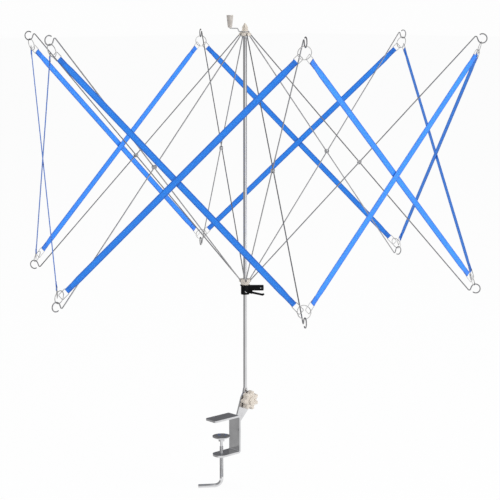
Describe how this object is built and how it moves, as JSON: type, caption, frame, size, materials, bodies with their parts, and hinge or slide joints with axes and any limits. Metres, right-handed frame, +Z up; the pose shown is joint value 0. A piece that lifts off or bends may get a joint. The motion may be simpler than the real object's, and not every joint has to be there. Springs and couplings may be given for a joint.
{
  "type": "umbrella swift",
  "caption": "Clamp-on folding yarn swift: wire ribs cross in a scissor on a steel rod, laced with flat blue straps, with a crank, tilting foot and table clamp.",
  "frame": {"origin": "underside of the clamp's top plate, where the clamp screw's axis meets it", "axes": "+Z up along the rod, -X out of the clamp's mouth, +Y completes the frame; the rod stands at x = 52 mm"},
  "size_m": [0.7632, 0.662, 0.7564],
  "materials": {
    "clamp_steel": "zinc plated, satin",
    "plated_steel": "bright plated",
    "spring_wire": "bright drawn wire",
    "ivory_plastic": "moulded, satin",
    "black_plastic": "moulded",
    "blue_tape": "satin vinyl tape"
  },
  "bodies": {
    "clamp_frame": {"clamp_frame": "clamp_steel", "pivot_bolt": "plated_steel"},
    "clamp_pad": {"clamp_pad": "plated_steel"},
    "clamp_screw": {"clamp_screw": "plated_steel"},
    "knob": {"knob": "ivory_plastic"},
    "rod": {"rod": "plated_steel"},
    "upper_hub": {"upper_hub": "ivory_plastic", "crank": "spring_wire"},
    "crank_grip": {"crank_grip": "ivory_plastic"},
    "rib_from_upper_hub_1": {"rib_from_upper_hub_1": "spring_wire"},
    "rib_from_lower_hub_1": {"rib_from_lower_hub_1": "spring_wire"},
    "upper_ring_1": {"upper_ring_1": "spring_wire"},
    "lower_ring_1": {"lower_ring_1": "spring_wire"},
    "lower_hub": {"lower_hub": "ivory_plastic"},
    "rib_from_upper_hub_2": {"rib_from_upper_hub_2": "spring_wire"},
    "rib_from_lower_hub_2": {"rib_from_lower_hub_2": "spring_wire"},
    "upper_ring_2": {"upper_ring_2": "spring_wire"},
    "lower_ring_2": {"lower_ring_2": "spring_wire"},
    "rib_from_upper_hub_3": {"rib_from_upper_hub_3": "spring_wire"},
    "rib_from_lower_hub_3": {"rib_from_lower_hub_3": "spring_wire"},
    "upper_ring_3": {"upper_ring_3": "spring_wire"},
    "lower_ring_3": {"lower_ring_3": "spring_wire"},
    "rib_from_upper_hub_4": {"rib_from_upper_hub_4": "spring_wire"},
    "rib_from_lower_hub_4": {"rib_from_lower_hub_4": "spring_wire"},
    "upper_ring_4": {"upper_ring_4": "spring_wire"},
    "lower_ring_4": {"lower_ring_4": "spring_wire"},
    "rib_from_upper_hub_5": {"rib_from_upper_hub_5": "spring_wire"},
    "rib_from_lower_hub_5": {"rib_from_lower_hub_5": "spring_wire"},
    "upper_ring_5": {"upper_ring_5": "spring_wire"},
    "lower_ring_5": {"lower_ring_5": "spring_wire"},
    "rib_from_upper_hub_6": {"rib_from_upper_hub_6": "spring_wire"},
    "rib_from_lower_hub_6": {"rib_from_lower_hub_6": "spring_wire"},
    "upper_ring_6": {"upper_ring_6": "spring_wire"},
    "lower_ring_6": {"lower_ring_6": "spring_wire"},
    "strap_1_to_2": {"strap_1_to_2": "blue_tape", "strap_links_1_to_2": "spring_wire"},
    "strap_1_to_6": {"strap_1_to_6": "blue_tape", "strap_links_1_to_6": "spring_wire"},
    "strap_2_to_3": {"strap_2_to_3": "blue_tape", "strap_links_2_to_3": "spring_wire"},
    "strap_2_to_1": {"strap_2_to_1": "blue_tape", "strap_links_2_to_1": "spring_wire"},
    "strap_3_to_4": {"strap_3_to_4": "blue_tape", "strap_links_3_to_4": "spring_wire"},
    "strap_3_to_2": {"strap_3_to_2": "blue_tape", "strap_links_3_to_2": "spring_wire"},
    "strap_4_to_5": {"strap_4_to_5": "blue_tape", "strap_links_4_to_5": "spring_wire"},
    "strap_4_to_3": {"strap_4_to_3": "blue_tape", "strap_links_4_to_3": "spring_wire"},
    "strap_5_to_6": {"strap_5_to_6": "blue_tape", "strap_links_5_to_6": "spring_wire"},
    "strap_5_to_4": {"strap_5_to_4": "blue_tape", "strap_links_5_to_4": "spring_wire"},
    "strap_6_to_1": {"strap_6_to_1": "blue_tape", "strap_links_6_to_1": "spring_wire"},
    "strap_6_to_5": {"strap_6_to_5": "blue_tape", "strap_links_6_to_5": "spring_wire"},
    "clip_body": {"clip_body": "black_plastic"},
    "clip_lever": {"clip_lever": "black_plastic"}
  },
  "joints": [
    {"name": "pad_travel", "type": "slide", "parent": "clamp_frame", "child": "clamp_pad", "axis": [0, 0, 1], "range_m": [-0.016, 0.026]},
    {"name": "screw_turn", "type": "hinge", "parent": "clamp_pad", "child": "clamp_screw", "pos_m": [0, 0, 0], "axis": [0, 0, 1], "range_deg": [-5760, 9360]},
    {"name": "knob_turn", "type": "hinge", "parent": "clamp_frame", "child": "knob", "pos_m": [0.052, 0, 0.024], "axis": [0, -1, 0], "continuous": true},
    {"name": "rod_tilt", "type": "hinge", "parent": "clamp_frame", "child": "rod", "pos_m": [0.052, 0, 0.024], "axis": [0, 1, 0], "range_deg": [-45, 90]},
    {"name": "swift_spin", "type": "hinge", "parent": "rod", "child": "upper_hub", "pos_m": [0.052, 0, 0.614], "axis": [0, 0, 1], "continuous": true},
    {"name": "grip_spin", "type": "hinge", "parent": "upper_hub", "child": "crank_grip", "pos_m": [0.03455, 0.01604, 0.6226], "axis": [0, 0, 1], "continuous": true},
    {"name": "fold", "type": "hinge", "parent": "upper_hub", "child": "rib_from_upper_hub_1", "pos_m": [0.06, 0, 0.614], "axis": [0, 1, 0], "range_deg": [-9.9, 30]},
    {"name": "crossing_1", "type": "hinge", "parent": "rib_from_upper_hub_1", "child": "rib_from_lower_hub_1", "pos_m": [0.23833, 0, 0.41663], "axis": [0, 1, 0], "range_deg": [-60, 19.8]},
    {"name": "lower_hub_level", "type": "hinge", "parent": "rib_from_lower_hub_1", "child": "lower_hub", "pos_m": [0.06, 0, 0.21927], "axis": [0, 1, 0], "range_deg": [-9.9, 30]},
    {"name": "upper_ring_1_swing", "type": "hinge", "parent": "rib_from_lower_hub_1", "child": "upper_ring_1", "pos_m": [0.42583, -0.001, 0.60922], "axis": [0, 1, 0], "range_deg": [-9.9, 30]},
    {"name": "lower_ring_1_swing", "type": "hinge", "parent": "rib_from_upper_hub_1", "child": "lower_ring_1", "pos_m": [0.42315, 0.001, 0.22701], "axis": [0, 1, 0], "range_deg": [-39.76, 13.13]},
    {"name": "upper_rib_2_fold", "type": "hinge", "parent": "upper_hub", "child": "rib_from_upper_hub_2", "pos_m": [0.056, 0.00693, 0.614], "axis": [-0.866, 0.5, 0], "range_deg": [-9.9, 30]},
    {"name": "crossing_2", "type": "hinge", "parent": "rib_from_upper_hub_2", "child": "rib_from_lower_hub_2", "pos_m": [0.14517, 0.16137, 0.41663], "axis": [-0.866, 0.5, 0], "range_deg": [-60, 19.8]},
    {"name": "upper_ring_2_swing", "type": "hinge", "parent": "rib_from_lower_hub_2", "child": "upper_ring_2", "pos_m": [0.23978, 0.32325, 0.60922], "axis": [-0.866, 0.5, 0], "range_deg": [-9.9, 30]},
    {"name": "lower_ring_2_swing", "type": "hinge", "parent": "rib_from_upper_hub_2", "child": "lower_ring_2", "pos_m": [0.23671, 0.32192, 0.22701], "axis": [-0.866, 0.5, 0], "range_deg": [-39.76, 13.13]},
    {"name": "upper_rib_3_fold", "type": "hinge", "parent": "upper_hub", "child": "rib_from_upper_hub_3", "pos_m": [0.048, 0.00693, 0.614], "axis": [-0.866, -0.5, 0], "range_deg": [-9.9, 30]},
    {"name": "crossing_3", "type": "hinge", "parent": "rib_from_upper_hub_3", "child": "rib_from_lower_hub_3", "pos_m": [-0.04117, 0.16137, 0.41663], "axis": [-0.866, -0.5, 0], "range_deg": [-60, 19.8]},
    {"name": "upper_ring_3_swing", "type": "hinge", "parent": "rib_from_lower_hub_3", "child": "upper_ring_3", "pos_m": [-0.13405, 0.32425, 0.60922], "axis": [-0.866, -0.5, 0], "range_deg": [-9.9, 30]},
    {"name": "lower_ring_3_swing", "type": "hinge", "parent": "rib_from_upper_hub_3", "child": "lower_ring_3", "pos_m": [-0.13444, 0.32092, 0.22701], "axis": [-0.866, -0.5, 0], "range_deg": [-39.76, 13.13]},
    {"name": "upper_rib_4_fold", "type": "hinge", "parent": "upper_hub", "child": "rib_from_upper_hub_4", "pos_m": [0.044, 0, 0.614], "axis": [0, -1, 0], "range_deg": [-9.9, 30]},
    {"name": "crossing_4", "type": "hinge", "parent": "rib_from_upper_hub_4", "child": "rib_from_lower_hub_4", "pos_m": [-0.13433, 0, 0.41663], "axis": [0, -1, 0], "range_deg": [-60, 19.8]},
    {"name": "upper_ring_4_swing", "type": "hinge", "parent": "rib_from_lower_hub_4", "child": "upper_ring_4", "pos_m": [-0.32183, 0.001, 0.60922], "axis": [0, -1, 0], "range_deg": [-9.9, 30]},
    {"name": "lower_ring_4_swing", "type": "hinge", "parent": "rib_from_upper_hub_4", "child": "lower_ring_4", "pos_m": [-0.31915, -0.001, 0.22701], "axis": [0, -1, 0], "range_deg": [-39.76, 13.13]},
    {"name": "upper_rib_5_fold", "type": "hinge", "parent": "upper_hub", "child": "rib_from_upper_hub_5", "pos_m": [0.048, -0.00693, 0.614], "axis": [0.866, -0.5, 0], "range_deg": [-9.9, 30]},
    {"name": "crossing_5", "type": "hinge", "parent": "rib_from_upper_hub_5", "child": "rib_from_lower_hub_5", "pos_m": [-0.04117, -0.16137, 0.41663], "axis": [0.866, -0.5, 0], "range_deg": [-60, 19.8]},
    {"name": "upper_ring_5_swing", "type": "hinge", "parent": "rib_from_lower_hub_5", "child": "upper_ring_5", "pos_m": [-0.13578, -0.32325, 0.60922], "axis": [0.866, -0.5, 0], "range_deg": [-9.9, 30]},
    {"name": "lower_ring_5_swing", "type": "hinge", "parent": "rib_from_upper_hub_5", "child": "lower_ring_5", "pos_m": [-0.13271, -0.32192, 0.22701], "axis": [0.866, -0.5, 0], "range_deg": [-39.76, 13.13]},
    {"name": "upper_rib_6_fold", "type": "hinge", "parent": "upper_hub", "child": "rib_from_upper_hub_6", "pos_m": [0.056, -0.00693, 0.614], "axis": [0.866, 0.5, 0], "range_deg": [-9.9, 30]},
    {"name": "crossing_6", "type": "hinge", "parent": "rib_from_upper_hub_6", "child": "rib_from_lower_hub_6", "pos_m": [0.14517, -0.16137, 0.41663], "axis": [0.866, 0.5, 0], "range_deg": [-60, 19.8]},
    {"name": "upper_ring_6_swing", "type": "hinge", "parent": "rib_from_lower_hub_6", "child": "upper_ring_6", "pos_m": [0.23805, -0.32425, 0.60922], "axis": [0.866, 0.5, 0], "range_deg": [-9.9, 30]},
    {"name": "lower_ring_6_swing", "type": "hinge", "parent": "rib_from_upper_hub_6", "child": "lower_ring_6", "pos_m": [0.23844, -0.32092, 0.22701], "axis": [0.866, 0.5, 0], "range_deg": [-39.76, 13.13]},
    {"name": "strap_1_to_2_swing", "type": "hinge", "parent": "upper_ring_1", "child": "strap_1_to_2", "pos_m": [0.41877, 0.00638, 0.59088], "axis": [-0.866, -0.5, 0], "range_deg": [-10.96, 33.19]},
    {"name": "strap_1_to_6_swing", "type": "hinge", "parent": "upper_ring_1", "child": "strap_1_to_6", "pos_m": [0.41918, -0.00863, 0.59087], "axis": [0.866, -0.5, 0], "range_deg": [-11, 33.32]},
    {"name": "strap_2_to_3_swing", "type": "hinge", "parent": "upper_ring_2", "child": "strap_2_to_3", "pos_m": [0.22986, 0.32082, 0.59088], "axis": [0, -1, 0], "range_deg": [-10.96, 33.19]},
    {"name": "strap_2_to_1_swing", "type": "hinge", "parent": "upper_ring_2", "child": "strap_2_to_1", "pos_m": [0.24306, 0.31367, 0.59087], "axis": [0.866, 0.5, 0], "range_deg": [-11, 33.32]},
    {"name": "strap_3_to_4_swing", "type": "hinge", "parent": "upper_ring_3", "child": "strap_3_to_4", "pos_m": [-0.13691, 0.31444, 0.59088], "axis": [0.866, -0.5, 0], "range_deg": [-10.96, 33.19]},
    {"name": "strap_3_to_2_swing", "type": "hinge", "parent": "upper_ring_3", "child": "strap_3_to_2", "pos_m": [-0.12412, 0.3223, 0.59087], "axis": [0, 1, 0], "range_deg": [-11, 33.32]},
    {"name": "strap_4_to_5_swing", "type": "hinge", "parent": "upper_ring_4", "child": "strap_4_to_5", "pos_m": [-0.31477, -0.00638, 0.59088], "axis": [0.866, 0.5, 0], "range_deg": [-10.96, 33.19]},
    {"name": "strap_4_to_3_swing", "type": "hinge", "parent": "upper_ring_4", "child": "strap_4_to_3", "pos_m": [-0.31518, 0.00863, 0.59087], "axis": [-0.866, 0.5, 0], "range_deg": [-11, 33.32]},
    {"name": "strap_5_to_6_swing", "type": "hinge", "parent": "upper_ring_5", "child": "strap_5_to_6", "pos_m": [-0.12586, -0.32082, 0.59088], "axis": [0, 1, 0], "range_deg": [-10.96, 33.19]},
    {"name": "strap_5_to_4_swing", "type": "hinge", "parent": "upper_ring_5", "child": "strap_5_to_4", "pos_m": [-0.13906, -0.31367, 0.59087], "axis": [-0.866, -0.5, 0], "range_deg": [-11, 33.32]},
    {"name": "strap_6_to_1_swing", "type": "hinge", "parent": "upper_ring_6", "child": "strap_6_to_1", "pos_m": [0.24091, -0.31444, 0.59088], "axis": [-0.866, 0.5, 0], "range_deg": [-10.96, 33.19]},
    {"name": "strap_6_to_5_swing", "type": "hinge", "parent": "upper_ring_6", "child": "strap_6_to_5", "pos_m": [0.22812, -0.3223, 0.59087], "axis": [0, -1, 0], "range_deg": [-11, 33.32]},
    {"name": "clip_swivel", "type": "hinge", "parent": "lower_hub", "child": "clip_body", "pos_m": [0.052, 0, 0.21927], "axis": [0, 0, 1], "continuous": true},
    {"name": "lever_squeeze", "type": "hinge", "parent": "clip_body", "child": "clip_lever", "pos_m": [0.05936, -0.00677, 0.20005], "axis": [-0.6769, -0.7361, 0], "range_deg": [0, 12], "stiffness_Nm_per_rad": 0.1, "springref_deg": -17.19}
  ],
  "couplings": [
    {"joint": "pad_travel", "follows": "screw_turn", "m_per_rad": 0.00015915},
    {"joint": "crossing_1", "follows": "fold", "ratio": -2},
    {"joint": "lower_hub_level", "follows": "fold", "ratio": 1},
    {"joint": "upper_ring_1_swing", "follows": "fold", "ratio": 1},
    {"joint": "lower_ring_1_swing", "follows": "fold", "ratio": -1.325},
    {"joint": "upper_rib_2_fold", "follows": "fold", "ratio": 1},
    {"joint": "crossing_2", "follows": "fold", "ratio": -2},
    {"joint": "upper_ring_2_swing", "follows": "fold", "ratio": 1},
    {"joint": "lower_ring_2_swing", "follows": "fold", "ratio": -1.325},
    {"joint": "upper_rib_3_fold", "follows": "fold", "ratio": 1},
    {"joint": "crossing_3", "follows": "fold", "ratio": -2},
    {"joint": "upper_ring_3_swing", "follows": "fold", "ratio": 1},
    {"joint": "lower_ring_3_swing", "follows": "fold", "ratio": -1.325},
    {"joint": "upper_rib_4_fold", "follows": "fold", "ratio": 1},
    {"joint": "crossing_4", "follows": "fold", "ratio": -2},
    {"joint": "upper_ring_4_swing", "follows": "fold", "ratio": 1},
    {"joint": "lower_ring_4_swing", "follows": "fold", "ratio": -1.325},
    {"joint": "upper_rib_5_fold", "follows": "fold", "ratio": 1},
    {"joint": "crossing_5", "follows": "fold", "ratio": -2},
    {"joint": "upper_ring_5_swing", "follows": "fold", "ratio": 1},
    {"joint": "lower_ring_5_swing", "follows": "fold", "ratio": -1.325},
    {"joint": "upper_rib_6_fold", "follows": "fold", "ratio": 1},
    {"joint": "crossing_6", "follows": "fold", "ratio": -2},
    {"joint": "upper_ring_6_swing", "follows": "fold", "ratio": 1},
    {"joint": "lower_ring_6_swing", "follows": "fold", "ratio": -1.325},
    {"joint": "strap_1_to_2_swing", "follows": "fold", "ratio": 1.1059},
    {"joint": "strap_1_to_6_swing", "follows": "fold", "ratio": 1.1104},
    {"joint": "strap_2_to_3_swing", "follows": "fold", "ratio": 1.1059},
    {"joint": "strap_2_to_1_swing", "follows": "fold", "ratio": 1.1104},
    {"joint": "strap_3_to_4_swing", "follows": "fold", "ratio": 1.1059},
    {"joint": "strap_3_to_2_swing", "follows": "fold", "ratio": 1.1104},
    {"joint": "strap_4_to_5_swing", "follows": "fold", "ratio": 1.1059},
    {"joint": "strap_4_to_3_swing", "follows": "fold", "ratio": 1.1104},
    {"joint": "strap_5_to_6_swing", "follows": "fold", "ratio": 1.1059},
    {"joint": "strap_5_to_4_swing", "follows": "fold", "ratio": 1.1104},
    {"joint": "strap_6_to_1_swing", "follows": "fold", "ratio": 1.1059},
    {"joint": "strap_6_to_5_swing", "follows": "fold", "ratio": 1.1104},
    {"joint": "clip_swivel", "follows": "swift_spin", "ratio": -1}
  ]
}
